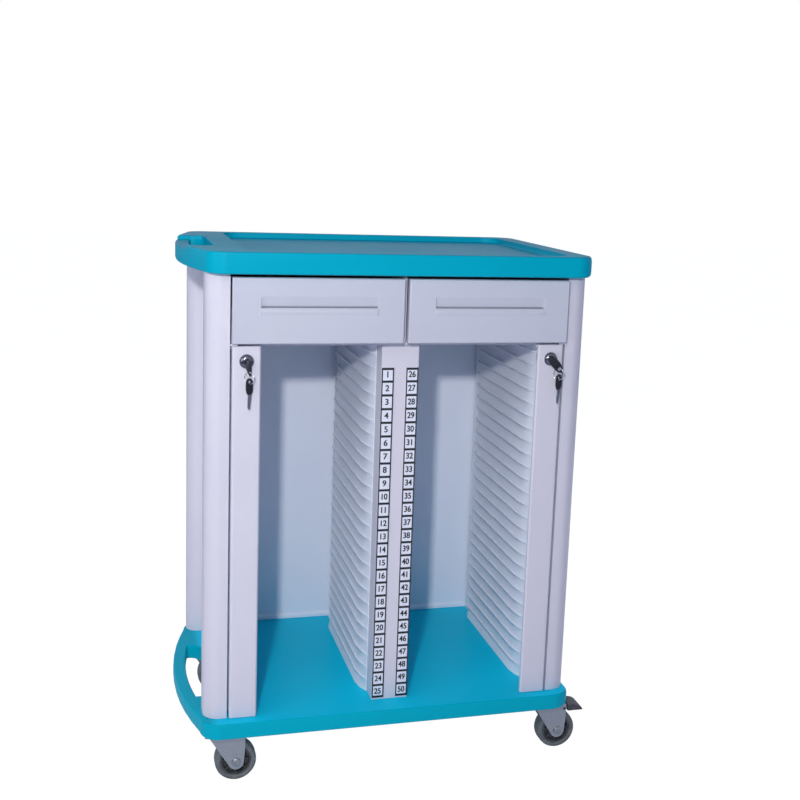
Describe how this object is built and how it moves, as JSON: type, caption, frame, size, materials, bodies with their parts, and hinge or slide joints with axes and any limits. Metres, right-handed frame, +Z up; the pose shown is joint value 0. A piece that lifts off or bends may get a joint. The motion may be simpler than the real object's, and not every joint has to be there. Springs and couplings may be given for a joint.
{
  "type": "medical chart rack",
  "caption": "Patient record trolley with paired ribbed chart bays, hinged locking flaps, drawers over them, a recessed tray top with a push bow, and swivel casters.",
  "frame": {"origin": "on the floor, in the middle of the overall footprint", "axes": "+Z up, -Y toward the drawers and flaps, +X to the right of someone facing the front"},
  "size_m": [0.7714, 0.49, 0.9655],
  "materials": {
    "cyan_abs": "satin moulded",
    "white_abs": "satin moulded",
    "liner_abs": "fine moulded texture",
    "label_card": "printed card under film",
    "zinc_steel": "zinc plated pressing",
    "chrome": "polished",
    "steel": "plain",
    "black_plastic": "satin",
    "grey_rubber": "moulded tread"
  },
  "bodies": {
    "body": {"top_tray": "cyan_abs", "base_deck": "cyan_abs", "back_panel": "white_abs", "drawer_shelf": "white_abs", "drawer_partition": "white_abs", "divider_post": "white_abs", "post_front_left": "white_abs", "post_rear_left": "white_abs", "side_panel_left": "white_abs", "label_strip_left": "label_card", "rib_liner_wall_left": "liner_abs", "rib_liner_divider_left": "liner_abs", "runner_left_outer": "zinc_steel", "runner_left_inner": "zinc_steel", "flap_rod_left": "steel", "post_front_right": "white_abs", "post_rear_right": "white_abs", "side_panel_right": "white_abs", "label_strip_right": "label_card", "rib_liner_wall_right": "liner_abs", "rib_liner_divider_right": "liner_abs", "runner_right_outer": "zinc_steel", "runner_right_inner": "zinc_steel", "flap_rod_right": "steel", "caster_plate_front_left": "zinc_steel", "caster_plate_front_right": "zinc_steel", "caster_plate_rear_left": "zinc_steel", "caster_plate_rear_right": "zinc_steel"},
    "drawer_left": {"drawer_front_left": "white_abs", "drawer_box_left": "white_abs"},
    "flap_leaf_left": {"flap_left": "white_abs", "lock_housing_left": "chrome"},
    "lock_core_left": {"lock_plug_left": "chrome", "lock_cam_left": "zinc_steel", "key_left": "black_plastic"},
    "key_pair_left": {"key_ring_left": "chrome", "spare_key_left": "black_plastic"},
    "drawer_right": {"drawer_front_right": "white_abs", "drawer_box_right": "white_abs"},
    "flap_leaf_right": {"flap_right": "white_abs", "lock_housing_right": "chrome"},
    "lock_core_right": {"lock_plug_right": "chrome", "lock_cam_right": "zinc_steel", "key_right": "black_plastic"},
    "key_pair_right": {"key_ring_right": "chrome", "spare_key_right": "black_plastic"},
    "swivel_front_left": {"caster_fork_front_left": "zinc_steel", "caster_axle_front_left": "steel"},
    "wheel_front_left": {"caster_wheel_front_left": "grey_rubber"},
    "swivel_front_right": {"caster_fork_front_right": "zinc_steel", "caster_axle_front_right": "steel"},
    "wheel_front_right": {"caster_wheel_front_right": "grey_rubber"},
    "swivel_rear_left": {"caster_fork_rear_left": "zinc_steel", "caster_axle_rear_left": "steel"},
    "wheel_rear_left": {"caster_wheel_rear_left": "grey_rubber"},
    "swivel_rear_right": {"caster_fork_rear_right": "zinc_steel", "caster_axle_rear_right": "steel"},
    "wheel_rear_right": {"caster_wheel_rear_right": "grey_rubber"},
    "pedal_front_right": {"brake_pedal_front_right": "black_plastic"},
    "pedal_rear_left": {"brake_pedal_rear_left": "black_plastic"}
  },
  "joints": [
    {"name": "drawer_left_slide", "type": "slide", "parent": "body", "child": "drawer_left", "axis": [0, -1, 0], "range_m": [0, 0.3]},
    {"name": "flap_left_hinge", "type": "hinge", "parent": "body", "child": "flap_leaf_left", "pos_m": [-0.29845, -0.217, 0.132], "axis": [0, 0, -1], "range_deg": [0, 65]},
    {"name": "lock_left_turn", "type": "hinge", "parent": "flap_leaf_left", "child": "lock_core_left", "pos_m": [-0.27895, -0.222, 0.7781], "axis": [0, -1, 0], "range_deg": [0, 90]},
    {"name": "key_ring_left_swing", "type": "hinge", "parent": "lock_core_left", "child": "key_pair_left", "pos_m": [-0.27445, -0.2304, 0.75861], "axis": [0, 1, 0], "range_deg": [-20, 20]},
    {"name": "drawer_right_slide", "type": "slide", "parent": "body", "child": "drawer_right", "axis": [0, -1, 0], "range_m": [0, 0.3]},
    {"name": "flap_right_hinge", "type": "hinge", "parent": "body", "child": "flap_leaf_right", "pos_m": [0.29095, -0.217, 0.132], "axis": [0, 0, 1], "range_deg": [0, 65]},
    {"name": "lock_right_turn", "type": "hinge", "parent": "flap_leaf_right", "child": "lock_core_right", "pos_m": [0.27145, -0.222, 0.7781], "axis": [0, 1, 0], "range_deg": [0, 90]},
    {"name": "key_ring_right_swing", "type": "hinge", "parent": "lock_core_right", "child": "key_pair_right", "pos_m": [0.28457, -0.2304, 0.76301], "axis": [0, 1, 0], "range_deg": [-20, 20]},
    {"name": "caster_front_left_swivel", "type": "hinge", "parent": "body", "child": "swivel_front_left", "pos_m": [-0.31525, -0.187, 0.09], "axis": [0, 0, 1], "continuous": true},
    {"name": "wheel_front_left_spin", "type": "hinge", "parent": "swivel_front_left", "child": "wheel_front_left", "pos_m": [-0.28775, -0.187, 0.0375], "axis": [0, 1, 0], "continuous": true},
    {"name": "caster_front_right_swivel", "type": "hinge", "parent": "body", "child": "swivel_front_right", "pos_m": [0.30775, -0.187, 0.09], "axis": [0, 0, 1], "continuous": true},
    {"name": "wheel_front_right_spin", "type": "hinge", "parent": "swivel_front_right", "child": "wheel_front_right", "pos_m": [0.33525, -0.187, 0.0375], "axis": [0, 1, 0], "continuous": true},
    {"name": "caster_rear_left_swivel", "type": "hinge", "parent": "body", "child": "swivel_rear_left", "pos_m": [-0.31525, 0.189, 0.09], "axis": [0, 0, 1], "continuous": true},
    {"name": "wheel_rear_left_spin", "type": "hinge", "parent": "swivel_rear_left", "child": "wheel_rear_left", "pos_m": [-0.28775, 0.189, 0.0375], "axis": [0, 1, 0], "continuous": true},
    {"name": "caster_rear_right_swivel", "type": "hinge", "parent": "body", "child": "swivel_rear_right", "pos_m": [0.30775, 0.189, 0.09], "axis": [0, 0, 1], "continuous": true},
    {"name": "wheel_rear_right_spin", "type": "hinge", "parent": "swivel_rear_right", "child": "wheel_rear_right", "pos_m": [0.33525, 0.189, 0.0375], "axis": [0, 1, 0], "continuous": true},
    {"name": "brake_front_right_press", "type": "hinge", "parent": "swivel_front_right", "child": "pedal_front_right", "pos_m": [0.34775, -0.187, 0.082], "axis": [0, 1, 0], "range_deg": [0, 12]},
    {"name": "brake_rear_left_press", "type": "hinge", "parent": "swivel_rear_left", "child": "pedal_rear_left", "pos_m": [-0.27525, 0.189, 0.082], "axis": [0, 1, 0], "range_deg": [0, 12]}
  ]
}
